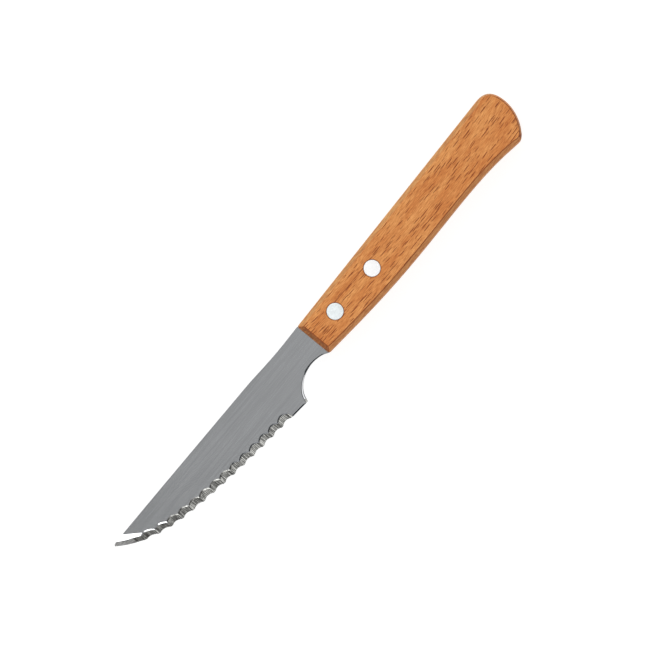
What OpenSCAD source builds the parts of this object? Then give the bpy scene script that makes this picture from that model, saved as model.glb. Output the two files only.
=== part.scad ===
// Steak knife with a one-piece wooden handle, lying on its side.
// X runs from the point to the butt, Y towards the back of the blade, Z up from the table.
// Heights along Y are measured from the knife's axis, the line through the front rivet.

/* [Blade] */
// Length of the blade in front of the handle
blade_l = 101.4; // [88:0.1:125]
// Thickness of the sheet steel
blade_t = 1; // [0.8:0.05:1.4]
// Height of the blade's back at the point
point_rise = 8.1; // [6.5:0.05:9.5]
// Depth of the heel corner below the axis
heel_drop = 12.6; // [11:0.1:15]
// Distance of the heel corner in front of the handle
heel_x = 19; // [17:0.1:23]
// Length of the neck, where the blade's back dips
neck_l = 30; // [24:0.5:36]
// Length of the tang inside the handle
tang_l = 44; // [40:0.5:54]
// Radius of the tang's corners
tang_corner_r = 3; // [1:0.5:5]

/* [Finger notch] */
// Radius of the finger notch
notch_r = 8.45; // [6:0.05:9]
// Distance of the notch's centre in front of the handle
notch_x = 7.6; // [6:0.1:9]
// Depth of the notch's top below the axis
notch_top_drop = 5.25; // [4:0.05:6.5]
// Lean of the notch's wall from square, in degrees
notch_lean = 41; // [20:1:45]

/* [Serrated edge] */
// Distance of the first scallop in front of the handle
serration_x = 25.95; // [24:0.05:32]
// Length of one scallop
scallop_pitch = 4.74; // [3.5:0.01:6]
// Height of a scallop's ground arc
scallop_h = 0.97; // [0.7:0.01:1.4]
// Height taken off the point of each tooth when it is rounded
tooth_cut = 0.3; // [0.2:0.01:0.5]
// Height of the rounded teeth above the line of the smooth edge
tooth_rise = 0.1; // [0.05:0.01:0.2]
// Number of fine grooves in one scallop
grooves = 8; // [4:1:10]
// Height of a fine groove's arc
groove_h = 0.13; // [0.05:0.01:0.2]
// Width of the main ground slope
slope_w = 2.25; // [1.6:0.05:3]
// Width of the steeper lip above the main slope
lip_w = 0.5; // [0.2:0.05:0.6]
// Depth of the steeper lip
lip_depth = 0.3; // [0.2:0.02:0.5]

/* [Point] */
// Least length of smooth edge at the point
smooth_l = 5.7; // [4:0.1:9]
// Height of the blunt end at the point
blunt_h = 0.6; // [0.2:0.1:0.8]
// Length of the blunt end along the blade's back
blunt_l = 0.7; // [0.4:0.1:1.2]
// Length along the back of the facet that thins the point
facet_l = 5; // [4:0.1:8]
// Slope of the facet, in degrees
facet_slope = 3; // [2:0.5:6]
// Turn of the facet's line from the blade's back, in degrees
facet_turn = 45; // [35:1:55]

/* [Handle] */
// Length of the handle
handle_l = 108.6; // [96:0.1:125]
// Thickness of the handle
handle_t = 10.5; // [9:0.1:13]
// Height of the handle's front end above the axis
front_rise = 6.95; // [6.5:0.05:8]
// Depth of the handle's front end below the axis
front_drop = 7.6; // [7:0.1:9]
// Height of the handle's back edge where the butt begins
butt_rise = 8.75; // [8:0.05:10]
// Depth of the handle's lower edge where the butt begins
butt_drop = 11.85; // [10.5:0.1:13]
// Length of the butt's upper curve
butt_top_l = 7.6; // [5:0.1:10]
// Length of the butt's lower curve
butt_low_l = 10; // [8:0.1:12]
// Height of the butt's furthest point
nose_rise = 1.1; // [0:0.1:3]
// Width of the bevels along the long edges and the front end
bevel_w = 1.6; // [1:0.1:2.2]
// Width of the softer bevel round the butt
butt_bevel_w = 0.6; // [0.4:0.1:1.2]

/* [Rivets] */
// Distance of the front rivet from the handle's front end
rivet_x = 12.75; // [10:0.05:16]
// Distance between the two rivets
rivet_gap = 20.1; // [16:0.1:22]
// Depth of the rear rivet below the axis
rear_rivet_drop = 0.4; // [0:0.1:1]
// Diameter of a rivet head
head_d = 6; // [5:0.1:7]
// Thickness of a rivet head
head_t = 1.6; // [1.2:0.1:2]
// Outer diameter of the hollow shank
shank_d = 4; // [3.4:0.1:4.4]
// Wall of the hollow shank
shank_wall = 0.65; // [0.4:0.05:0.9]
// Depth of a rivet head below the handle's face
head_sink = 0.04; // [0.02:0.01:0.1]

/* [Fits] */
// Gap between the tang and each side of the saw kerf
kerf_gap = 0.05; // [0.02:0.01:0.1]
// Gap between the tang's end and the end of the saw kerf
kerf_end_gap = 1; // [0.5:0.1:2]
// Depth of the tang's edges below the handle's edges
tang_sink = 0.05; // [0.02:0.01:0.1]
// Gap around a rivet head
rim_gap = 0.07; // [0.03:0.01:0.1]
// Gap around a rivet shank
shank_gap = 0.1; // [0.05:0.01:0.2]
// Gap between the solid and the hollow shank
pin_gap = 0.02; // [0.01:0.01:0.05]

/* [Hidden] */
$fn = 64;

// How far cutters run past what they cut
overrun = 2;
// Length of the inclined cutters, more than the blade's depth at any slope
cutter_l = 2 * (point_rise + heel_drop) + blade_l;

// Heights along the cutting edge, as shares of the way down from the blade's back to the heel
edge_shares = [blunt_h / (point_rise + heel_drop), 0.854, 0.594, 0.953, 0.916, 1];
// Heights along the blade's back, as shares of the rise from the handle's front to the point
back_shares = [1, 1.006, 0.658, 0.505];
neck_shares = [0.505, 0.613, -0.493, 0, 0.1];
// Depths along the handle's lower edge, as shares of the way from its front to its butt
low_shares = [0, 0.5, 1.2, -0.05, 1];
// The butt's curves: X as shares of the curve's length, Y as shares of the way from the nose to the edge
butt_top_shares = [[1, 1], [0.48, 1.03], [0, 0.9], [0, 0]];
butt_corner_shares = [[1, 1], [0.73, 1.03], [0.65, 1.06], [0.42, 0.842]];
butt_low_shares = [[0.42, 0.842], [0.25, 0.698], [0, 0.38], [0, 0]];

// Number of straight pieces along each curve
edge_steps = 8;
back_steps = 8;
handle_steps = 20;
butt_steps = 14;
corner_steps = 5;
// Points in one fine groove's arc
groove_steps = 3;

blade_z = handle_t / 2;
groove_pitch = scallop_pitch / grooves;
groove_count = floor((blade_l - serration_x - smooth_l) / groove_pitch);
scallops = floor(groove_count / grooves);
smooth_x = serration_x + groove_count * groove_pitch;
// The cut-off scallop next to the point is shallower than the others
last_scallop_share = 0.22;
// Powers that shape the arcs of the grinding and the rounded teeth of the outline, 1 for sharp ones
arc_round = 1.05;
tooth_round = 1.73;
// Rise of the ground edge above the outline in the smooth part and in the scallops, so it ends sharp
smooth_rise = 0.04;
scallop_rise = 0.03;
// Length and depth of the slanted end of the ground band, beside the first scallop
end_l = 0.9;
end_drop = slope_w + 2 * lip_w;
// Length of the outline's step down from the first tooth to the smooth edge
step_l = 0.3;

slope_angle = atan((blade_t - lip_depth) / slope_w);
lip_angle = atan(lip_depth / lip_w);

pin_d = shank_d - 2 * shank_wall;
rear_rivet_x = rivet_x + rivet_gap;
bore_d = shank_d + 2 * shank_gap;
seat_d = head_d + 2 * rim_gap;
seat_depth = head_t + head_sink;
// Space between the inner faces of a rivet's two heads
grip_l = handle_t - 2 * seat_depth;
// Gap between a shank's end and the opposite head
shank_end_gap = head_t / 4;

// A Bezier curve through control heights or points, at t from 0 to 1
function curve(h, t) = len(h) == 1
    ? h[0]
    : curve([for (i = [0 : len(h) - 2]) h[i] * (1 - t) + h[i + 1] * t], t);

function steps(n) = [for (i = [0 : n]) i / n];

// Blade outline
function edge_y(x) =
    point_rise - (point_rise + heel_drop) * curve(edge_shares, (x + blade_l) / (blade_l - heel_x));
function back_y(shares, t) = front_rise + (point_rise - front_rise) * curve(shares, t);

// Places at step k of the grooves, counted from the heel towards the point
scallop_steps = grooves * groove_steps;
function hump(share) = 4 * share * (1 - share);
function scallop_hump(k) = hump((k % scallop_steps) / scallop_steps);
function depth_share(k) = k > scallops * scallop_steps ? last_scallop_share : 1;
function ground_x(k) = -serration_x - k * groove_pitch / groove_steps;
last_k = groove_count * groove_steps;
// Rises there above the line of the smooth edge: of the ground arcs and of the outline's teeth
function arc_rise(k) =
    depth_share(k) * (tooth_rise - tooth_cut + scallop_h * pow(scallop_hump(k), arc_round));
tooth_h = scallop_h - tooth_cut - scallop_rise;
function outline_rise(k) =
    depth_share(k) * (tooth_rise + tooth_h * pow(scallop_hump(k), tooth_round));
function arc_y(k) = edge_y(ground_x(k)) + arc_rise(k);
function ground_y(k) = arc_y(k) + groove_h * hump((k % groove_steps) / groove_steps);

// The outline's edge from the point to the heel: smooth, wavy with rounded teeth, and smooth again
tip_end = [
    for (t = steps(edge_steps))
        let (x = -blade_l + t * (blade_l - smooth_x)) [x, edge_y(x) + t * outline_rise(last_k)]
];
teeth = [
    for (i = [groove_count : -1 : 0])
        let (k = i * groove_steps) [ground_x(k), edge_y(ground_x(k)) + outline_rise(k)]
];
heel_end = [
    for (t = steps(edge_steps))
        let (x = step_l - serration_x + t * (serration_x - step_l - heel_x)) [x, edge_y(x)]
];
edge_line = concat([for (i = [0 : len(tip_end) - 2]) tip_end[i]], teeth, heel_end);
back_line = [
    for (t = steps(back_steps))
        [-blade_l + blunt_l + t * (blade_l - blunt_l - neck_l), back_y(back_shares, t)]
];
neck_line = [for (t = steps(back_steps)) [-neck_l * (1 - t), back_y(neck_shares, t)]];

// Handle outline
function top_y(x) = front_rise + (butt_rise - front_rise) * x / (handle_l - butt_top_l);
function low_y(x) =
    -front_drop - (butt_drop - front_drop) * curve(low_shares, x / (handle_l - butt_low_l));
function butt_points(shares, n, length, height) = [
    for (t = steps(n))
        let (p = curve(shares, t)) [handle_l - p[0] * length, nose_rise + p[1] * height]
];
// A list without its first point
function rest(list) = [for (i = [1 : len(list) - 1]) list[i]];

upper_line = concat(
    [for (t = steps(handle_steps)) let (x = t * (handle_l - butt_top_l)) [x, top_y(x)]],
    rest(butt_points(
        butt_top_shares, butt_steps + corner_steps, butt_top_l, butt_rise - nose_rise
    ))
);
lower_line = concat(
    [for (t = steps(handle_steps)) let (x = t * (handle_l - butt_low_l)) [x, low_y(x)]],
    rest(butt_points(butt_corner_shares, corner_steps, butt_low_l, -butt_drop - nose_rise)),
    rest(butt_points(butt_low_shares, butt_steps, butt_low_l, -butt_drop - nose_rise))
);
last = len(upper_line) - 1;

// The bevel's width at each station: even along the long edges, narrowing over the butt's corners
function bevel_at(i) = i <= handle_steps
    ? bevel_w
    : bevel_w + (butt_bevel_w - bevel_w) * min(1, (i - handle_steps) / corner_steps);
// A point moved inwards by its bevel, square to the line through its neighbours
function inset_point(line, i, side) =
    i == 0
    ? [bevel_w, line[0][1] - side * bevel_w]
    : i == last
    ? [line[i][0] - butt_bevel_w, line[i][1]]
    : let (d = line[i + 1] - line[i - 1]) line[i] + side * bevel_at(i) / norm(d) * [d[1], -d[0]];
function inset_line(line, side) = [for (i = [0 : last]) inset_point(line, i, side)];

// One closed ring of the handle: out along the upper line and back along the lower one
function ring(upper, lower, z) = concat(
    [for (p = upper) [p[0], p[1], z]],
    [for (i = [last - 1 : -1 : 0]) [lower[i][0], lower[i][1], z]]
);
upper_inset = inset_line(upper_line, 1);
lower_inset = inset_line(lower_line, -1);
ring_n = 2 * last + 1;

// The whole knife's box, which the frame is centred on
outline_ys = concat(
    [for (p = concat(upper_line, lower_line, edge_line, back_line)) p[1]], [-heel_drop]
);
centre_x = (handle_l - blade_l) / 2;
centre_y = (max(outline_ys) + min(outline_ys)) / 2;

// The ground edge seen along the blade's thickness, from the heel to the point: in the scallops
// the given points, and beside them the slanted end and the smooth edge
function whole_line(points) = concat(
    [[end_l - serration_x, arc_y(0) - end_drop]],
    points,
    [
        for (t = rest(steps(edge_steps)))
            let (x = -smooth_x - t * (blade_l - smooth_x))
                [x, edge_y(x) + t * smooth_rise + (1 - t) * arc_rise(last_k)]
    ]
);
grooved_line = whole_line([for (k = [0 : last_k]) [ground_x(k), ground_y(k)]]);
// The steeper lip has the scallops' arcs without the grooves
arc_line = whole_line([for (k = [0 : last_k]) [ground_x(k), arc_y(k) + groove_h / 2]]);

// Removes all that lies on the edge's side of the line, over a slope up to the near face.
// The line is met at height z above the blade's middle, moved by shift across the blade.
module ground_slope(line, angle, shift, z) {
    function across(p) = [p[0], (p[1] + shift) * sin(angle) - z * cos(angle)];
    far = -2 * (point_rise + heel_drop);
    rotate([angle - 90, 0, 0])
        linear_extrude(cutter_l, center = true)
            polygon(concat(
                [for (p = line) across(p)],
                [
                    [-blade_l - overrun, across(line[len(line) - 1])[1]],
                    [-blade_l - overrun, far],
                    [end_l - serration_x, far]
                ]
            ));
}

// The round notch with its leaning wall, open downwards
module notch() {
    translate([-notch_x, -notch_top_drop - notch_r, blade_t / 2])
        rotate([0, -notch_lean, 0]) {
            cylinder(h = cutter_l, r = notch_r, center = true);
            translate([-notch_r, -cutter_l, -cutter_l / 2])
                cube([2 * notch_r, cutter_l, cutter_l]);
        }
}

// The flat that thins the point
module point_facet() {
    translate([-blade_l + facet_l, point_rise, blade_t / 2])
        rotate([0, 0, -facet_turn])
            rotate([facet_slope, 0, 0])
                translate([-cutter_l / 2, -cutter_l, 0])
                    cube([cutter_l, cutter_l, cutter_l]);
}

module blade_outline() {
    polygon(concat(
        edge_line,
        [[-notch_x, -heel_drop], [-notch_x, -front_drop], [0, -front_drop]],
        [for (i = [len(neck_line) - 1 : -1 : 0]) neck_line[i]],
        [for (i = [len(back_line) - 2 : -1 : 0]) back_line[i]]
    ));
}

module tang_outline() {
    tang_steps = 10;
    xs = [for (t = steps(tang_steps)) t * tang_l];
    r = tang_corner_r;
    difference() {
        polygon(concat(
            [[-overrun, low_y(0) + tang_sink]],
            [for (x = xs) [x, low_y(x) + tang_sink]],
            [for (i = [tang_steps : -1 : 0]) [xs[i], top_y(xs[i]) - tang_sink]],
            [[-overrun, front_rise - tang_sink]]
        ));
        for (side = [-1, 1]) {
            corner_y = side > 0 ? top_y(tang_l) - tang_sink : low_y(tang_l) + tang_sink;
            translate([tang_l - r, corner_y - side * r])
                difference() {
                    translate([0, side > 0 ? 0 : -r - overrun])
                        square([r + overrun, r + overrun]);
                    circle(r);
                }
        }
    }
}

module at_front_rivet() {
    translate([rivet_x, 0, 0]) children();
}

module at_rear_rivet() {
    translate([rear_rivet_x, -rear_rivet_drop, 0]) children();
}

module placed() {
    translate([-centre_x, -centre_y, 0]) children();
}

module blade() {
    color("silver")
        placed()
            difference() {
                translate([0, 0, blade_z])
                    difference() {
                        translate([0, 0, -blade_t / 2])
                            linear_extrude(blade_t)
                                union() {
                                    blade_outline();
                                    tang_outline();
                                }
                        notch();
                        point_facet();
                        intersection() {
                            ground_slope(grooved_line, slope_angle, 0, -blade_t / 2);
                            ground_slope(arc_line, lip_angle, slope_w, blade_t / 2 - lip_depth);
                        }
                    }
                at_front_rivet() cylinder(h = handle_t, d = bore_d);
                at_rear_rivet() cylinder(h = handle_t, d = bore_d);
            }
}

module rivet_bore() {
    cylinder(h = 3 * handle_t, d = bore_d, center = true);
    translate([0, 0, -overrun])
        cylinder(h = overrun + seat_depth, d = seat_d);
    translate([0, 0, handle_t - seat_depth])
        cylinder(h = overrun + seat_depth, d = seat_d);
}

module handle_body() {
    side_faces = [
        for (layer = [0 : 2], i = [0 : ring_n - 1])
            let (j = (i + 1) % ring_n, a = layer * ring_n, b = a + ring_n) [a + i, b + i, b + j, a + j]
    ];
    cap_quads = [
        for (i = [0 : last - 2]) [i, i + 1, ring_n - 2 - i, ring_n - 1 - i]
    ];
    cap_faces = concat(cap_quads, [[last - 1, last, last + 1]]);
    polyhedron(
        points = concat(
            ring(upper_inset, lower_inset, 0),
            ring(upper_line, lower_line, bevel_w),
            ring(upper_line, lower_line, handle_t - bevel_w),
            ring(upper_inset, lower_inset, handle_t)
        ),
        faces = concat(
            side_faces,
            [for (f = cap_faces) [for (i = [len(f) - 1 : -1 : 0]) f[i]]],
            [for (f = cap_faces) [for (i = f) i + 3 * ring_n]]
        )
    );
}

module handle() {
    kerf_t = blade_t + 2 * kerf_gap;
    kerf_h = 2 * (butt_rise + butt_drop);
    color("peru")
        placed()
            difference() {
                handle_body();
                translate([-overrun, -kerf_h / 2, blade_z - kerf_t / 2])
                    cube([overrun + tang_l + kerf_end_gap, kerf_h, kerf_t]);
                at_front_rivet() rivet_bore();
                at_rear_rivet() rivet_bore();
            }
}

// The solid half of a rivet, its head flush with the upper face
module rivet_male() {
    color("gainsboro") {
        translate([0, 0, handle_t - seat_depth])
            cylinder(h = head_t, d = head_d);
        translate([0, 0, seat_depth + shank_end_gap])
            cylinder(h = grip_l - shank_end_gap, d = pin_d - 2 * pin_gap);
    }
}

// The hollow half, its head flush with the lower face
module rivet_female() {
    color("gainsboro")
        difference() {
            translate([0, 0, head_sink]) {
                cylinder(h = head_t, d = head_d);
                cylinder(h = head_t + grip_l - shank_end_gap, d = shank_d);
            }
            translate([0, 0, seat_depth])
                cylinder(h = handle_t, d = pin_d);
        }
}

blade();
handle();
placed() at_front_rivet() rivet_male();  // front_rivet_male
placed() at_front_rivet() rivet_female();  // front_rivet_female
placed() at_rear_rivet() rivet_male();  // rear_rivet_male
placed() at_rear_rivet() rivet_female();  // rear_rivet_female
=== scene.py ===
# %% [markdown]
# A steak knife, dressed for its portrait
#
# The knife lies on its side on a pale table. Six solids make it: a sheet-steel blade with a serrated
# edge, a one-piece beech handle with a saw kerf for the tang, and two aluminium rivets of two halves.
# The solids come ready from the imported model. This script gives each one the softened edges and the
# finish of the real thing. Nothing is moved or resized, so what is measured here stays true.

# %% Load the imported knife
from math import cos, pi, radians, sin

import bmesh
import bpy
from mathutils import Matrix, Vector


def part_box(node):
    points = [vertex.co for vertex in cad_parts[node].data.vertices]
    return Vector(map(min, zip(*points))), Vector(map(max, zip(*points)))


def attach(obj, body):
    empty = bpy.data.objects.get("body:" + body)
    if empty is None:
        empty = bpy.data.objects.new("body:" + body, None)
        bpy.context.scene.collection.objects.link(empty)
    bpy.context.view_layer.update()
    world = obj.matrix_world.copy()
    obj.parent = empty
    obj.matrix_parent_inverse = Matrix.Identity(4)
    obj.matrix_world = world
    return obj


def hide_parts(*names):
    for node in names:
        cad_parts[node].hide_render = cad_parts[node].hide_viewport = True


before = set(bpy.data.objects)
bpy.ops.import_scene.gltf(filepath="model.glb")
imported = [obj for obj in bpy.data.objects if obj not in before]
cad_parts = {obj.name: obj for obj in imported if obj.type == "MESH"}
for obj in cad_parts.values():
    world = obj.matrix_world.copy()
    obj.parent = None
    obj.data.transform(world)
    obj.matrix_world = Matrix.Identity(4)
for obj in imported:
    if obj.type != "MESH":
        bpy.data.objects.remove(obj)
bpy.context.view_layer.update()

mm = 0.001
scene = bpy.context.scene
print("nodes:", sorted(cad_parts))

# %% [markdown]
# The knife's own marks
#
# A camera, a light or a grain pattern is easier to place by the object than by bare numbers. The
# handle's front end, its upper face and the line through the front rivet serve as marks. They are
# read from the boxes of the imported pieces, so they follow the knife if its sizes change.

# %% Read the marks from the frame
handle_low, handle_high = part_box("handle")
blade_low, blade_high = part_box("blade")
rivet_low, rivet_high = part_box("front_rivet_male")
axis_y = (rivet_low.y + rivet_high.y) / 2
face_z = handle_high.z
middle_z = (blade_high.z + face_z) / 2
front_mark = Vector((handle_low.x, axis_y, middle_z))
print("handle front on the axis, mm:", [round(x / mm, 2) for x in front_mark])

# %% [markdown]
# The camera
#
# The photograph looks almost straight down from about two metres with a long lens, which is how small
# goods are shot on a table. The knife's axis climbs to the upper right. A camera could be aimed with a
# constraint, but a matrix built from three directions says at once what is right, up and back. The
# picture's scale and one known pixel, the handle's front end, then fix both the lens and the place.

# %% Aim the camera
picture_px = 645
front_px = (312.35, 339.3)
pixel_size = 0.3543 * mm
knife_slant = radians(50.5)
camera_tilt = radians(2.25)
camera_distance = 2.0

right = Vector((cos(knife_slant), -sin(knife_slant), 0))
up = Vector((sin(knife_slant), cos(knife_slant), 0))
middle_px = picture_px / 2
look_at = front_mark + right * (middle_px - front_px[0]) * pixel_size
look_at += up * (front_px[1] - middle_px) * pixel_size

back = Vector((0, -sin(camera_tilt), cos(camera_tilt)))
up = (up - up.dot(back) * back).normalized()
right = up.cross(back)

camera = bpy.data.objects.new("camera", bpy.data.cameras.new("camera"))
scene.collection.objects.link(camera)
turn = Matrix((right, up, back)).transposed().to_4x4()
camera.matrix_world = Matrix.Translation(look_at + back * camera_distance) @ turn
camera.data.lens = camera.data.sensor_width * camera_distance / (picture_px * pixel_size)
scene.camera = camera
print("lens in mm:", round(camera.data.lens, 1), "looking at", [round(x / mm, 2) for x in look_at])

# %% [markdown]
# The table
#
# The set is so bright that shadows nearly vanish in the ground. Small goods are often shot like that on
# a sheet of white acrylic with lamps below it. Stronger lamps above would whiten the ground as well, but
# they would also bleach the knife. So the table is one large square whose paint gives off light of its
# own. The rest of its tone is plain grey, which still takes a faint shadow where the knife lies.

# %% Lay the table
floor_size = 8.0
floor_grey, floor_glow = 0.32, 0.8
bm = bmesh.new()
bmesh.ops.create_grid(bm, x_segments=1, y_segments=1, size=floor_size / 2)
floor_mesh = bpy.data.meshes.new("floor")
bm.to_mesh(floor_mesh)
bm.free()
floor = bpy.data.objects.new("floor", floor_mesh)
scene.collection.objects.link(floor)
floor_paint = bpy.data.materials.new("lit_white_acrylic")
floor_paint.use_nodes = True
floor_shader = floor_paint.node_tree.nodes["Principled BSDF"]
floor_shader.inputs["Base Color"].default_value = (floor_grey, floor_grey, floor_grey, 1)
floor_shader.inputs["Roughness"].default_value = 0.9
floor_shader.inputs["Specular IOR Level"].default_value = 0.1
floor_shader.inputs["Emission Color"].default_value = (1, 1, 1, 1)
floor_shader.inputs["Emission Strength"].default_value = floor_glow
floor_mesh.materials.append(floor_paint)
print("table in m:", floor_size, "by", floor_size)

# %% [markdown]
# The surroundings
#
# Bare steel has little colour of its own: it shows what it mirrors. The blade's flats are grey because
# they mirror the dim patch above, where the camera looks in. A picture of a room could stand around the
# knife, but a few soft steps from one direction to another are easier to tune one at a time. Low down
# the surroundings are bright. Overhead they are dim, more so towards the knife's point. One low sector
# stays dark, which gives the steep faces of the steel their dark lines.

# %% Helpers for the surroundings
world = bpy.data.worlds.new("studio")
world.use_nodes = True
scene.world = world
room = world.node_tree
direction = room.nodes.new("ShaderNodeTexCoord").outputs["Generated"]


def share_towards(axis, low, high):
    """How far a direction turns to an axis, from 0 at a cosine of low to 1 at high."""
    cosine = room.nodes.new("ShaderNodeVectorMath")
    cosine.operation = "DOT_PRODUCT"
    cosine.inputs[1].default_value = axis
    share = room.nodes.new("ShaderNodeMapRange")
    share.inputs["From Min"].default_value = low
    share.inputs["From Max"].default_value = high
    room.links.new(direction, cosine.inputs[0])
    room.links.new(cosine.outputs["Value"], share.inputs["Value"])
    return share.outputs["Result"]


def mix_levels(share, first, second):
    """A brightness between two others, either of which may be a socket."""
    mix = room.nodes.new("ShaderNodeMix")
    room.links.new(share, mix.inputs["Factor"])
    for name, level in (("A", first), ("B", second)):
        if isinstance(level, float):
            mix.inputs[name].default_value = level
        else:
            room.links.new(level, mix.inputs[name])
    return mix.outputs["Result"]


def towards(bearing, height_angle):
    """A direction: bearing from +X towards +Y, height above the table."""
    across = cos(height_angle)
    return Vector((cos(bearing) * across, sin(bearing) * across, sin(height_angle)))


# %% [markdown]
# Overhead, sides and the dark sector
#
# The brightness is built up in three steps: first the change overhead from the point's side to the
# butt's, then the sides below it, then the dark sector on top of both. Each pair of limits is the cosine
# of an angle, so 1 lies straight towards the axis that is named and 0 square to it.

# %% Light the surroundings
point_side_level, butt_side_level = 0.20, 0.73
overhead_half_width = 0.15
side_level, dim_level = 1.05, 0.05
overhead_from, overhead_to = 0.35, 0.8
dim_bearing = radians(288)
dim_from, dim_to = 0.50, 0.62
dim_top_from, dim_top_to = 0.56, 0.48

across_share = share_towards((1, 0, 0), -overhead_half_width, overhead_half_width)
overhead_level = mix_levels(across_share, point_side_level, butt_side_level)
level = mix_levels(share_towards((0, 0, 1), overhead_from, overhead_to), side_level, overhead_level)
dim_sector = room.nodes.new("ShaderNodeMath")
dim_sector.operation = "MULTIPLY"
room.links.new(share_towards(towards(dim_bearing, 0), dim_from, dim_to), dim_sector.inputs[0])
room.links.new(share_towards((0, 0, -1), -dim_top_from, -dim_top_to), dim_sector.inputs[1])
level = mix_levels(dim_sector.outputs["Value"], level, dim_level)
room.links.new(level, room.nodes["Background"].inputs["Strength"])
room.nodes["Background"].inputs["Color"].default_value = (1, 1, 1, 1)
print("nodes of the surroundings:", len(room.nodes))

# %% [markdown]
# The lamps
#
# Four large soft lamps stand round the knife. Blender asks for a lamp's power in watts, but what a shiny
# blade shows is how bright the lamp's panel is. So each lamp is given the size and the brightness of its
# panel, and its power is worked out from the two.

# %% Hang the lamps
lamp_distance = 3.0


def softbox(name, bearing, height_angle, width, height, brightness):
    """A soft lamp that faces the knife: angles in degrees, its panel in metres."""
    lamp = bpy.data.lights.new(name, "AREA")
    lamp.shape = "RECTANGLE"
    lamp.size = width
    lamp.size_y = height
    lamp.energy = brightness * pi * width * height
    shine = bpy.data.objects.new(name, lamp)
    away = towards(radians(bearing), radians(height_angle))
    shine.location = look_at + away * lamp_distance
    shine.rotation_mode = "QUATERNION"
    shine.rotation_quaternion = away.to_track_quat("Z", "Y")
    scene.collection.objects.link(shine)


softbox("point_side_lamp", bearing=215, height_angle=74, width=1.0, height=1.0, brightness=3.0)
softbox("back_side_lamp", bearing=95, height_angle=42, width=2.4, height=1.8, brightness=2.2)
softbox("low_lamp", bearing=228, height_angle=18, width=2.4, height=1.2, brightness=2.3)
softbox("edge_side_lamp", bearing=285, height_angle=52, width=1.0, height=0.9, brightness=1.2)
scene.view_settings.view_transform = "Standard"

# %% [markdown]
# Small helpers for shader nodes
#
# A material is a graph of nodes, and a long list of links is hard to read. The helpers below name what
# each node does here. All patterns read Object coordinates, which are metres in the knife's own frame,
# so a size such as the length of a fleck in the wood is given in millimetres and needs no UV map.

# %% Helpers for sockets and places
def connect(tree, value, socket):
    """Links an output to a socket, or writes a plain value in it."""
    if isinstance(value, bpy.types.NodeSocket):
        tree.links.new(value, socket)
    else:
        socket.default_value = value


def new_material(name):
    """A material, its node tree and its Principled shader."""
    made = bpy.data.materials.new(name)
    made.use_nodes = True
    return made, made.node_tree, made.node_tree.nodes["Principled BSDF"]


def object_place(tree):
    """The place on the piece, in metres."""
    return tree.nodes.new("ShaderNodeTexCoord").outputs["Object"]


def stretch(tree, vector, size, shift=(0, 0, 0)):
    """A place in units of size, the three lengths of one feature, in mm as the shift is."""
    mapping = tree.nodes.new("ShaderNodeMapping")
    mapping.vector_type = "TEXTURE"
    mapping.inputs["Scale"].default_value = [length * mm for length in size]
    mapping.inputs["Location"].default_value = [length * mm for length in shift]
    tree.links.new(vector, mapping.inputs["Vector"])
    return mapping.outputs["Vector"]


def split(tree, vector):
    """The X, Y and Z of a vector."""
    parts = tree.nodes.new("ShaderNodeSeparateXYZ")
    tree.links.new(vector, parts.inputs["Vector"])
    return parts.outputs["X"], parts.outputs["Y"], parts.outputs["Z"]


def join(tree, x, y, z):
    """A vector from its X, Y and Z."""
    whole = tree.nodes.new("ShaderNodeCombineXYZ")
    for name, value in zip("XYZ", (x, y, z)):
        connect(tree, value, whole.inputs[name])
    return whole.outputs["Vector"]


# %% [markdown]
# Patterns, sums and colours
#
# Soft noise is the root of most patterns here. A share is taken from it, or from the way that a face
# points, and this share blends two colours, sets the gloss or raises a relief. A colour ramp turns a
# value into a share too. Map Range is used instead, since its two limits stand in the call and one of
# them may come from another node.

# %% Helpers for patterns
def noise(tree, vector, detail=2.0, roughness=0.5):
    """Soft noise with one feature to a unit of the vector."""
    made = tree.nodes.new("ShaderNodeTexNoise")
    made.inputs["Scale"].default_value = 1.0
    made.inputs["Detail"].default_value = detail
    made.inputs["Roughness"].default_value = roughness
    tree.links.new(vector, made.inputs["Vector"])
    return made.outputs["Fac"]


def calculate(tree, operation, first, second):
    """One step of arithmetic between sockets or numbers."""
    made = tree.nodes.new("ShaderNodeMath")
    made.operation = operation
    connect(tree, first, made.inputs[0])
    connect(tree, second, made.inputs[1])
    return made.outputs["Value"]


def spread(tree, value, low, high, to_low=0.0, to_high=1.0):
    """Moves the range low to high of a value to another range, with smooth ends."""
    made = tree.nodes.new("ShaderNodeMapRange")
    made.interpolation_type = "SMOOTHSTEP"
    connect(tree, value, made.inputs["Value"])
    for name, number in zip(("From Min", "From Max", "To Min", "To Max"), (low, high, to_low, to_high)):
        connect(tree, number, made.inputs[name])
    return made.outputs["Result"]


def blend_colour(tree, share, first, second, kind="MIX"):
    """Mixes two colours by a share, or lays the second on the first in another way."""
    made = tree.nodes.new("ShaderNodeMix")
    made.data_type = "RGBA"
    made.blend_type = kind
    connect(tree, share, made.inputs["Factor"])
    connect(tree, first, made.inputs["A"])
    connect(tree, second, made.inputs["B"])
    return made.outputs["Result"]


def lay_on(tree, share, strength, colour, second):
    """Lays a second colour on the first where a share says so, and no denser than strength."""
    return blend_colour(tree, calculate(tree, "MULTIPLY", share, strength), colour, second)


def toned(tree, light, tone):
    """A colour of three plain numbers, times a light."""
    return join(tree, *[calculate(tree, "MULTIPLY", light, share) for share in tone])


def relief(tree, height, depth):
    """Bumps of a depth in mm, from a height between 0 and 1."""
    made = tree.nodes.new("ShaderNodeBump")
    made.inputs["Distance"].default_value = depth * mm
    tree.links.new(height, made.inputs["Height"])
    return made.outputs["Normal"]


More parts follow.
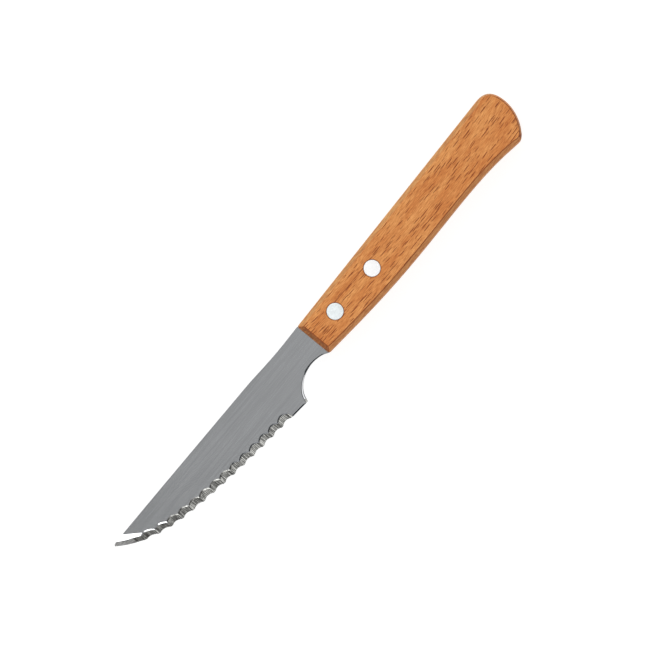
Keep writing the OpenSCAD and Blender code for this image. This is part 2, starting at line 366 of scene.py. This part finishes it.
# %% [markdown]
# Beech
#
# The handle is oiled beech, sawn so that its broad faces show the tree's rays as short dark dashes. On
# the narrow edges the same rays lie flat and show as wider flakes. A flat picture of wood would break
# off at every edge, so the pattern is worked out in space, as it grows in a plank. One set of stretched
# cells does both dashes and flakes: each cell is long with the grain, narrow across it and deep into the
# wood, and a fleck is drawn round the cell's centre.

# %% Grain and flecks
bend_per_metre = 0.65
wave_height = 0.8 * mm
unevenness = 0.8
bare_cells = 0.35


def along_the_grain(tree):
    """Places with the bend of the grain taken out: it falls at the front end and climbs at the butt."""
    x, y, z = split(tree, object_place(tree))
    from_middle = calculate(tree, "SUBTRACT", x, (handle_low.x + handle_high.x) / 2)
    sag = calculate(tree, "MULTIPLY", calculate(tree, "POWER", from_middle, 2.0), bend_per_metre)
    wave = noise(tree, stretch(tree, object_place(tree), (9, 4, 4)))
    sag = calculate(tree, "ADD", sag, calculate(tree, "MULTIPLY", wave, wave_height))
    return join(tree, x, calculate(tree, "SUBTRACT", y, sag), z)


def flecks(tree, vector, widest, slimness):
    """Lens-shaped marks, 1 inside and 0 outside, one to a cell, of uneven size and slimmer than it."""
    cells = tree.nodes.new("ShaderNodeTexVoronoi")
    cells.inputs["Scale"].default_value = 1.0
    cells.inputs["Randomness"].default_value = unevenness
    tree.links.new(vector, cells.inputs["Vector"])
    from_centre = tree.nodes.new("ShaderNodeVectorMath")
    from_centre.operation = "SUBTRACT"
    tree.links.new(vector, from_centre.inputs[0])
    tree.links.new(cells.outputs["Position"], from_centre.inputs[1])
    x, y, z = split(tree, from_centre.outputs["Vector"])
    reach = tree.nodes.new("ShaderNodeVectorMath")
    reach.operation = "LENGTH"
    tree.links.new(join(tree, x, calculate(tree, "MULTIPLY", y, slimness), z), reach.inputs[0])
    chance = tree.nodes.new("ShaderNodeSeparateColor")
    tree.links.new(cells.outputs["Color"], chance.inputs["Color"])
    radius = spread(tree, chance.outputs["Red"], 0.0, 1.0, 0.5 * widest, widest)
    inside = calculate(tree, "DIVIDE", reach.outputs["Value"], radius)
    there = calculate(tree, "GREATER_THAN", chance.outputs["Green"], bare_cells)
    return calculate(tree, "MULTIPLY", spread(tree, inside, 1.0, 0.8), there)


# %% [markdown]
# Wood, edges and ends
#
# Under the flecks, slow noise makes the patches of paler and redder wood, and fine noise the fibres. The
# lower edge is painted darker and greyer as painted shade, and the upper one paler as a painted highlight.
# The cut ends are darker, since end grain drinks oil and the saw scorched the front one. The way that a
# face points tells which of these it is, so nothing has to be painted by hand.

# %% Tones of the wood
red_wood, pale_wood = (0.595, 0.20, 0.0485, 1), (0.725, 0.303, 0.0895, 1)
# The two edge tones are painted shade for the lower edge and a painted highlight for the upper one.
painted_shade_edge, painted_highlight_edge = (0.461, 0.190, 0.064, 1), (0.373, 0.228, 0.083, 1)
dark_wood = (0.21, 0.040, 0.006, 1)
burnt_tone = (0.211, 0.071, 0.018)
fibre_tints = ((0.77, 1.20), (0.65, 1.33), (0.58, 1.44))
edge_from, edge_to = 0.35, 0.65
end_from, end_to = 0.25, 0.7


def patchy_wood(tree, grain):
    """Patches of redder and paler wood."""
    patches = noise(tree, stretch(tree, grain, (14, 2.6, 4)), 2, 0.5)
    return blend_colour(tree, spread(tree, patches, 0.25, 0.75), red_wood, pale_wood)


def shaded_and_lit_edges(tree, colour, facing_y):
    """Painted shade on the lower edge, darker and greyer, and a painted highlight on the upper one, paler.
    """
    shaded_lower_edge = spread(tree, calculate(tree, "MULTIPLY", facing_y, -1.0), edge_from, edge_to)
    lit_upper_edge = spread(tree, facing_y, edge_from, edge_to)
    # Painted shade on the lower edge, then a painted highlight on the upper one.
    colour = lay_on(tree, shaded_lower_edge, 0.75, colour, painted_shade_edge)
    return lay_on(tree, lit_upper_edge, 0.45, colour, painted_highlight_edge)


def dark_ends(tree, colour, facing_x):
    """Mottled end grain, scorched at the front and only a little darker at the butt."""
    front_end = spread(tree, facing_x, -end_from, -end_to)
    butt_end = spread(tree, facing_x, end_from, end_to, 0.0, 0.15)
    pores = noise(tree, stretch(tree, object_place(tree), (0.9, 0.9, 0.9)), 2, 0.6)
    burnt = toned(tree, spread(tree, pores, 0.35, 0.65, 0.65, 1.35), burnt_tone)
    return lay_on(tree, calculate(tree, "ADD", front_end, butt_end), 0.9, colour, burnt)


def tint_fibres(tree, colour, fibres):
    """Fibres lighter and darker than the rest, least in red and most in blue."""
    tint = join(tree, *[spread(tree, fibres, 0.32, 0.68, low, high) for low, high in fibre_tints])
    return blend_colour(tree, 1.0, colour, tint, "MULTIPLY")


# %% [markdown]
# Rays and painted shade
#
# Two sets of cells, one shifted against the other, space the dashes unevenly. They show in full on the
# broad faces and as a trace on the edges. The arrises, which are the rounded corners beside the upper
# face, get a dark line of painted shade, and so does a thin ring round each rivet, as painted shade of
# its gap. On an arris the normal is on its way from the face's to the bevel's, so the range between the
# two picks out the line. The arris of the upper edge, which faces the light, is left out.

# %% Marks on the wood
level_z, turned_z = 0.998, 0.985
long_bevel_z, butt_bevel_z = 0.73, 0.40
lit_side_from, lit_side_to = 0.10, 0.30
ring_inner, ring_outer = 0.1 * mm, 0.45 * mm


def ray_dashes(tree, grain, facing_z):
    """Dark dashes of the rays, and 0 outside them."""
    rays = flecks(tree, stretch(tree, grain, (5.2, 1.1, 2.8)), 0.5, 3.2)
    more_rays = flecks(tree, stretch(tree, grain, (4.2, 1.2, 2.8), (3.4, 7.7, 1.3)), 0.5, 3.7)
    on_face = spread(tree, facing_z, 0.75, 0.95)
    on_back = spread(tree, facing_z, -0.75, -0.95)
    shown = spread(tree, calculate(tree, "ADD", on_face, on_back), 0.0, 1.0, 0.15, 1.0)
    return calculate(tree, "MULTIPLY", calculate(tree, "MAXIMUM", rays, more_rays), shown)


def shaded_arrises(tree, facing_x, facing_y, facing_z):
    """Painted shade: 1 on the rounded corners between the upper face and its bevels, but not on the lit
    upper edge, and 0 elsewhere.
    """
    turned = spread(tree, facing_z, level_z, turned_z)
    bevel_z = spread(tree, facing_x, 0.1, 0.3, long_bevel_z, butt_bevel_z)
    above_bevel = spread(tree, facing_z, bevel_z, calculate(tree, "ADD", bevel_z, 0.07))
    arris = calculate(tree, "MULTIPLY", turned, above_bevel)
    return calculate(tree, "MULTIPLY", arris, spread(tree, facing_y, lit_side_to, lit_side_from))


def near_upright(tree, centre, from_distance, to_distance):
    """A share that is 1 near the upright line through a centre and 0 from the greater distance on."""
    x, y, _ = split(tree, object_place(tree))
    off_x = calculate(tree, "SUBTRACT", x, centre.x)
    off_y = calculate(tree, "SUBTRACT", y, centre.y)
    distance = tree.nodes.new("ShaderNodeVectorMath")
    distance.operation = "LENGTH"
    tree.links.new(join(tree, off_x, off_y, 0), distance.inputs[0])
    return spread(tree, distance.outputs["Value"], to_distance, from_distance)


def shade_rings_round_rivets(tree, colour):
    """A thin ring of painted shade round each rivet head, where its gap lies in shade."""
    for rivet in ("front_rivet_male", "rear_rivet_male"):
        low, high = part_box(rivet)
        head_r = (high.x - low.x) / 2
        ring = near_upright(tree, (low + high) / 2, head_r + ring_inner, head_r + ring_outer)
        # Painted shade of the gap round the rivet head.
        colour = lay_on(tree, ring, 0.75, colour, dark_wood)
    return colour


# %% [markdown]
# The whole beech material
#
# The layers follow one another: the wood, its edges with their painted shade and highlight, and its ends,
# the fibres over all of these, then the rays and some long faint streaks, and last the painted shade of
# the arrises and of the rivets' gaps. The fibres set the gloss too, and fibres and rays the relief, so
# that light and colour agree.

# %% Beech material
def beech_material():
    """Oiled beech, put together layer by layer."""
    made, tree, shader = new_material("oiled_beech")
    grain = along_the_grain(tree)
    fibres = noise(tree, stretch(tree, grain, (2.8, 0.3, 0.5)), 3, 0.7)
    facing = tree.nodes.new("ShaderNodeTexCoord").outputs["Normal"]
    facing_x, facing_y, facing_z = split(tree, facing)
    colour = shaded_and_lit_edges(tree, patchy_wood(tree, grain), facing_y)
    colour = dark_ends(tree, colour, facing_x)
    colour = tint_fibres(tree, colour, fibres)

    dashes = ray_dashes(tree, grain, facing_z)
    streaks = flecks(tree, stretch(tree, grain, (30, 2.2, 4), (9.1, 2.2, 0.4)), 0.4, 5.0)
    arrises = shaded_arrises(tree, facing_x, facing_y, facing_z)
    # The dark line on the arrises is painted shade.
    for share, strength in ((dashes, 0.95), (streaks, 0.2), (arrises, 0.8)):
        colour = lay_on(tree, share, strength, colour, dark_wood)
    # The rings round the rivets are painted shade of their gaps.
    tree.links.new(shade_rings_round_rivets(tree, colour), shader.inputs["Base Color"])

    tree.links.new(spread(tree, fibres, 0.3, 0.7, 0.5, 0.62), shader.inputs["Roughness"])
    shader.inputs["Specular IOR Level"].default_value = 0.25
    height = calculate(tree, "SUBTRACT", fibres, dashes)
    tree.links.new(relief(tree, height, 0.02), shader.inputs["Normal"])
    return made


beech = beech_material()
print("material:", beech.name, "with", len(beech.node_tree.nodes), "nodes")

# %% [markdown]
# Softened edges
#
# A sawn and sanded edge is never a perfect corner: it catches a thin line of light. A copy of each
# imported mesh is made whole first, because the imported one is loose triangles. Flat areas are then joined
# to single faces, so that the edges left are real edges, and the bevel operator rounds those of them
# that a test picks out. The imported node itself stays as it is, hidden behind the dressed copy.

# %% Helpers for meshes
same_place = 0.001 * mm
flat_enough = radians(0.3)


def whole_copy(node):
    """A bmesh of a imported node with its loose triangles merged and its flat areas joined."""
    bm = bmesh.new()
    bm.from_mesh(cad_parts[node].data)
    bmesh.ops.remove_doubles(bm, verts=bm.verts, dist=same_place)
    bmesh.ops.recalc_face_normals(bm, faces=bm.faces)
    bmesh.ops.dissolve_limit(bm, angle_limit=flat_enough, verts=bm.verts, edges=bm.edges)
    return bm


def soften(bm, edges, width, segments, material=-1, clamp=True):
    """Rounds edges with a bevel of that width in mm, in the material of that index if given."""
    bmesh.ops.bevel(
        bm, geom=edges, affect="EDGES", offset=width * mm, offset_type="OFFSET",
        segments=segments, profile=0.5, material=material, clamp_overlap=clamp,
    )


def dress(bm, name, node, materials, sharp_angle=radians(30)):
    """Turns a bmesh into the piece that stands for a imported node."""
    mesh = bpy.data.meshes.new(name)
    for face in bm.faces:
        face.smooth = True
    bm.to_mesh(mesh)
    bm.free()
    mesh.set_sharp_from_angle(angle=sharp_angle)
    for material in materials:
        mesh.materials.append(material)
    piece = bpy.data.objects.new(name, mesh)
    scene.collection.objects.link(piece)
    normals = piece.modifiers.new("even_shading", "WEIGHTED_NORMAL")
    normals.keep_sharp = True
    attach(piece, "root")
    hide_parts(node)
    print(name, "faces:", len(mesh.polygons), "vertices:", len(mesh.vertices))


# %% [markdown]
# The handle
#
# The broad faces meet the long edges in flat bevels, which a spindle moulder cuts in one pass. A sanding
# belt then softens their corners by about a quarter of a millimetre, and the upright corners of the
# front cut by more. A Bevel modifier would also round the saw kerf and the rivets' seats, which are cut
# later and stay crisp. The operator is told which edges it gets, and the angle between two faces tells a
# bevel's corner from a square edge. Its own limit on width is off for the long corners, because the
# shortest edge would hold back all the others. The price is that some small faces cross where two
# roundings meet at the front.

# %% Build the handle
front_corner_width, long_corner_width = 0.7, 0.28
on_the_cut, tall_edge = 0.01 * mm, 3 * mm
square_from, square_to = radians(75), radians(105)
bevel_from, bevel_to = radians(25), radians(70)

bm = whole_copy("handle")
upright_corners = [
    e for e in bm.edges
    if all(abs(v.co.x - handle_low.x) < on_the_cut for v in e.verts)
    and abs(e.verts[0].co.z - e.verts[1].co.z) > tall_edge
    and square_from < e.calc_face_angle(0) < square_to
]
soften(bm, upright_corners, front_corner_width, 3)
print("upright corners at the front cut:", len(upright_corners))
long_corners = [
    e for e in bm.edges
    if len(e.link_faces) == 2 and bevel_from < e.calc_face_angle() < bevel_to
]
soften(bm, long_corners, long_corner_width, 3, clamp=False)
print("handle corners softened:", len(long_corners))
dress(bm, "beech_handle", "handle", [beech])

# %% [markdown]
# Steel
#
# The blade is stamped from rolled sheet. Its flats carry the fine lengthwise lines of the rolling and
# polishing, so the pattern is noise stretched along the blade. The grinding wheel left lines across the
# edge, which need the same noise stretched the other way. Flats and ground slope are painted darker
# towards the point, as painted shade. The stamped wall is dull, and it and its rolled-over rim are painted
# far darker than bare steel, as painted shade. Metal shows mostly what it mirrors, so on the flats the
# colour is nearly even and the lines work through the gloss. The ground slope is so coarse that its lines
# show in colour and relief as well.

# %% Steel materials
evened_out = 45 * mm


def steel_material(name, tone, roughness, lines, contrast, depth, point_shade=1.0):
    """Bare steel: lines gives one scratch's length along X, Y and Z, and depth its relief, in mm."""
    made, tree, shader = new_material(name)
    shader.inputs["Metallic"].default_value = 1.0
    scratches = noise(tree, stretch(tree, object_place(tree), lines), 3, 0.6)
    clouds = noise(tree, stretch(tree, object_place(tree), (14, 7, 7)), 2)
    light = spread(tree, scratches, 0.36, 0.64, 1 - contrast, 1 + contrast)
    light = calculate(tree, "MULTIPLY", light, spread(tree, clouds, 0.2, 0.8, 0.975, 1.025))
    x, _, _ = split(tree, object_place(tree))
    # Painted shade: the tone grows darker towards the point.
    painted_point_shade = spread(tree, x, blade_low.x, blade_low.x + evened_out, point_shade, 1.0)
    light = calculate(tree, "MULTIPLY", light, painted_point_shade)
    tree.links.new(toned(tree, light, tone), shader.inputs["Base Color"])
    gloss = spread(tree, scratches, 0.2, 0.8, roughness * 0.85, roughness * 1.15)
    tree.links.new(gloss, shader.inputs["Roughness"])
    tree.links.new(relief(tree, scratches, depth), shader.inputs["Normal"])
    return made


steels = [
    steel_material("rolled_steel", tone=(0.60, 0.615, 0.63), roughness=0.12,
                   lines=(25, 0.5, 1), contrast=0.028, depth=0.0001, point_shade=0.88),
    steel_material("ground_steel", tone=(0.335, 0.335, 0.32), roughness=0.22,
                   lines=(0.3, 4, 4), contrast=0.65, depth=0.04, point_shade=0.6),
    steel_material("honed_steel", tone=(0.60, 0.60, 0.59), roughness=0.22,
                   lines=(2, 0.4, 2), contrast=0.25, depth=0.002),
    steel_material("polished_steel", tone=(0.76, 0.77, 0.79), roughness=0.10,
                   lines=(6, 6, 6), contrast=0.02, depth=0.0),
    # The stamped and rim steels are rougher, and their very dark tones are painted shade.
    steel_material("stamped_steel_and_shade", tone=(0.12, 0.125, 0.135), roughness=0.33,
                   lines=(0.2, 0.2, 2), contrast=0.08, depth=0.004),
    steel_material("rim_steel_and_shade", tone=(0.035, 0.04, 0.045), roughness=0.3,
                   lines=(1, 1, 1), contrast=0.05, depth=0.0),
]
FLAT, GROUND, HONED, POLISHED, STAMPED, RIM = range(len(steels))
print("materials:", [steel.name for steel in steels])

# %% [markdown]
# The blade
#
# Each face of the blade tells by its slope how it was made. Level faces are the rolled sheet and upright
# ones the stamped wall. In between, the rise across the blade tells the coarse main slope of the ground
# edge from the finer, steeper lip above it and from the slight facet at the point. The lip is given the
# brighter polished steel near the point, which paints its highlight brighter there, ground steel in the
# middle, and the dark stamped steel towards the heel, which paints shade there. The leaning wall of the
# finger notch is polished.

# %% Sort the blade's faces
level_limit, upright_limit = 0.9999, 0.2
main_slope_rises = (0.2, 0.45)
notch_from = handle_low.x - 18 * mm
smooth_to = blade_low.x + 6 * mm
bright_lips_to, dark_lips_from = blade_low.x + 19 * mm, blade_low.x + 49 * mm


def steel_of(face):
    """The steel of a face of the blade, from its place and its slope."""
    normal, place = face.normal, face.calc_center_median()
    if abs(normal.z) > level_limit:
        return FLAT
    if abs(normal.z) < upright_limit:
        return STAMPED
    if place.x > notch_from:
        return POLISHED
    low_rise, high_rise = main_slope_rises
    if low_rise < abs(normal.y / normal.z) < high_rise:
        return HONED if place.x < smooth_to else GROUND
    # The lip's steel changes along the blade: painted highlight near the point, painted shade towards the
    # heel.
    if place.x < bright_lips_to:
        return POLISHED
    return GROUND if place.x < dark_lips_from else STAMPED


bm = whole_copy("blade")
for face in bm.faces:
    face.material_index = steel_of(face)
print("faces of the blade:", len(bm.faces))

# %% [markdown]
# Rims of the blade
#
# A punch rolls the sheet's corner over on the side that it enters from. Here that is the upper face
# along the heel and the notch, where the rim is rounded by half a millimetre, but far less where the
# notch's wall leans. The other rims get a tenth. The bevel gives the round rim a material of its own,
# whose near-black tone is painted shade. Its own limit on width is off, because one tiny edge among the
# others would hold back the bevel of them all. The ground teeth are left out: they are too thin to round.

# %% Round the rims
entry_width, leaning_width, other_width = 0.5, 0.14, 0.1
shortest_rim = 0.35 * mm
whole_share = 0.95
towards_the_edge = -0.3


def whole_height(face):
    """Whether a face spans the thickness of the sheet."""
    heights = [v.co.z for v in face.verts]
    return max(heights) - min(heights) > whole_share * (blade_high.z - blade_low.z)


def rims():
    """The corners of a flat with a wall of the sheet, unless very short, and both faces."""
    found = []
    for edge in bm.edges:
        faces = sorted(edge.link_faces, key=lambda f: f.material_index)
        if len(faces) == 2 and faces[0].material_index == FLAT and faces[1].material_index != RIM:
            if whole_height(faces[1]) and edge.calc_length() > shortest_rim:
                found.append((edge, *faces))
    return found


def entry_rims(leaning):
    """The rims on the punch's side of the heel and the notch, where the wall leans or is upright."""
    return [
        edge for edge, flat, wall in rims()
        if flat.normal.z > 0 and wall.normal.y < towards_the_edge
        and (wall.normal.z > upright_limit) == leaning
        and edge.verts[0].co.x < handle_low.x
    ]


for leaning, width in ((False, entry_width), (True, leaning_width)):
    found = entry_rims(leaning)
    soften(bm, found, width, 3, RIM, clamp=False)
    print("rims rounded by", width, "mm:", len(found))
other_rims = [edge for edge, _, _ in rims()]
soften(bm, other_rims, other_width, 2, RIM, clamp=False)
print("rims rounded by", other_width, "mm:", len(other_rims))

# %% [markdown]
# The torn strip of the notch
#
# A punch shears the first part of the sheet cleanly and tears the last third. On the notch's leaning
# wall that shows as a thin grey line below the bright band. One level cut through the wall's faces
# parts the two, and the faces below it take the dull steel of the stamped wall.

# %% Build the blade
torn_z = blade_low.z + 0.34 * mm


def notch_wall():
    """The polished faces of the notch's leaning wall."""
    return [
        f for f in bm.faces
        if f.material_index == POLISHED and f.calc_center_median().x > notch_from
    ]


wall_faces = notch_wall()
wall_parts = {part for f in wall_faces for part in (f, *f.edges, *f.verts)}
bmesh.ops.bisect_plane(bm, geom=list(wall_parts), plane_co=(0, 0, torn_z), plane_no=(0, 0, 1))
torn_faces = [f for f in notch_wall() if f.calc_center_median().z < torn_z]
for face in torn_faces:
    face.material_index = STAMPED
print("faces of the notch's wall:", len(wall_faces), "and its torn strip:", len(torn_faces))
dress(bm, "steel_blade", "blade", steels, radians(3))

# %% [markdown]
# Aluminium
#
# The rivets' heads were tumbled or sanded with the wood. That roughens soft aluminium so finely that it
# scatters light almost as chalk does. A fully metallic shader would mirror the dim patch overhead and
# come out grey, so the metal's share is small here and the base colour close to white. Tumbling left the
# front rivet mottled, which takes one noise for tone, gloss and relief. The rear one is nearly even.

# %% Aluminium materials
metal_share = 0.15


def aluminium_material(name, mottle, tone):
    """Dull aluminium, its blotches darker by the share mottle."""
    made, tree, shader = new_material(name)
    shader.inputs["Metallic"].default_value = metal_share
    shader.inputs["Specular IOR Level"].default_value = 1.0
    blotches = noise(tree, stretch(tree, object_place(tree), (1.1, 1.1, 1.1)), 4, 0.7)
    light = spread(tree, blotches, 0.35, 0.65, 1 - mottle, 1.0)
    tree.links.new(toned(tree, light, tone), shader.inputs["Base Color"])
    tree.links.new(spread(tree, blotches, 0.3, 0.7, 0.42, 0.55), shader.inputs["Roughness"])
    tree.links.new(relief(tree, blotches, 0.01), shader.inputs["Normal"])
    return made


tumbled_aluminium = aluminium_material("tumbled_aluminium", mottle=0.16, tone=(0.92, 0.985, 0.995))
bright_aluminium = aluminium_material("bright_aluminium", mottle=0.01, tone=(1.0, 1.0, 1.0))
print("materials:", [metal.name for metal in (tumbled_aluminium, bright_aluminium)])

# %% [markdown]
# The rivets
#
# Each rivet is a solid half pressed into a hollow half, and only their heads show. They are turned
# parts, so each one is a short profile spun about its axis, where a cylinder would still need its shank,
# its bore and its rim added. The heads were sanded with the wood: their rims are a little soft and their
# faces have a faint crown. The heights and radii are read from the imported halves.

# %% Helpers for turned parts
turning_steps = 64
rim_soft = 0.12 * mm
crown = 0.03 * mm


def spun(profile, centre):
    """A closed turned shape: a profile of radius and height, spun about the upright line at centre."""
    bm = bmesh.new()
    points = [bm.verts.new((centre.x + r, centre.y, z)) for r, z in profile]
    edges = [bm.edges.new(pair) for pair in zip(points, points[1:])]
    bmesh.ops.spin(
        bm, geom=points + edges, cent=centre, axis=(0, 0, 1), angle=2 * pi, steps=turning_steps,
        use_merge=True, use_duplicate=False,
    )
    bmesh.ops.remove_doubles(bm, verts=bm.verts, dist=same_place)
    bmesh.ops.recalc_face_normals(bm, faces=bm.faces)
    return bm


def levels_and_radii(node):
    """The heights in a rivet half, and the greatest radius at each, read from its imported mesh."""
    low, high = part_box(node)
    centre = (low + high) / 2
    found = {}
    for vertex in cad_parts[node].data.vertices:
        height = round(vertex.co.z / mm, 3) * mm
        radius = (vertex.co - centre).to_2d().length
        found[height] = max(radius, found.get(height, 0))
    return centre, sorted(found.items())


def head_rim(radius, outer_z, inner_z):
    """The head's profile from its crowned middle out over the soft rim to its underside."""
    side = 1 if outer_z > inner_z else -1
    soft_points = [
        (radius - rim_soft * (1 - sin(a)), outer_z - side * rim_soft * (1 - cos(a)))
        for a in (radians(step) for step in (0, 30, 60, 90))
    ]
    return [(0, outer_z + side * crown), *soft_points, (radius, inner_z)]


# %% [markdown]
# Solid and hollow halves
#
# A half whose lower end is the narrower one has its head on top: that is the solid half. The other has
# its head below and a bore that the solid shank enters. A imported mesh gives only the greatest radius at
# each height, so the bore's radius comes from the solid shank and the gap between the two.

# %% Build the rivets
press_gap = 0.02 * mm
solid_end_r = levels_and_radii("front_rivet_male")[1][0][1]
shank_wall = levels_and_radii("front_rivet_female")[1][-1][1] - solid_end_r - press_gap
print("wall of the hollow shank in mm:", round(shank_wall / mm, 2))


def build_rivet(name, node, metal):
    """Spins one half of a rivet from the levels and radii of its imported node."""
    centre, levels = levels_and_radii(node)
    (low_z, low_r), (step_z, _), (high_z, high_r) = levels
    if low_r < high_r:
        profile = head_rim(high_r, high_z, step_z)
        profile += [(low_r, step_z), (low_r, low_z + rim_soft), (low_r - rim_soft, low_z), (0, low_z)]
    else:
        bore_r = high_r - shank_wall
        profile = head_rim(low_r, low_z, step_z)
        profile += [(high_r, step_z), (high_r, high_z), (bore_r, high_z), (bore_r, step_z), (0, step_z)]
    dress(spun(profile, centre), name, node, [metal])


for end, metal in (("front", tumbled_aluminium), ("rear", bright_aluminium)):
    for half in ("male", "female"):
        build_rivet(f"{end}_rivet_{half}_half", f"{end}_rivet_{half}", metal)
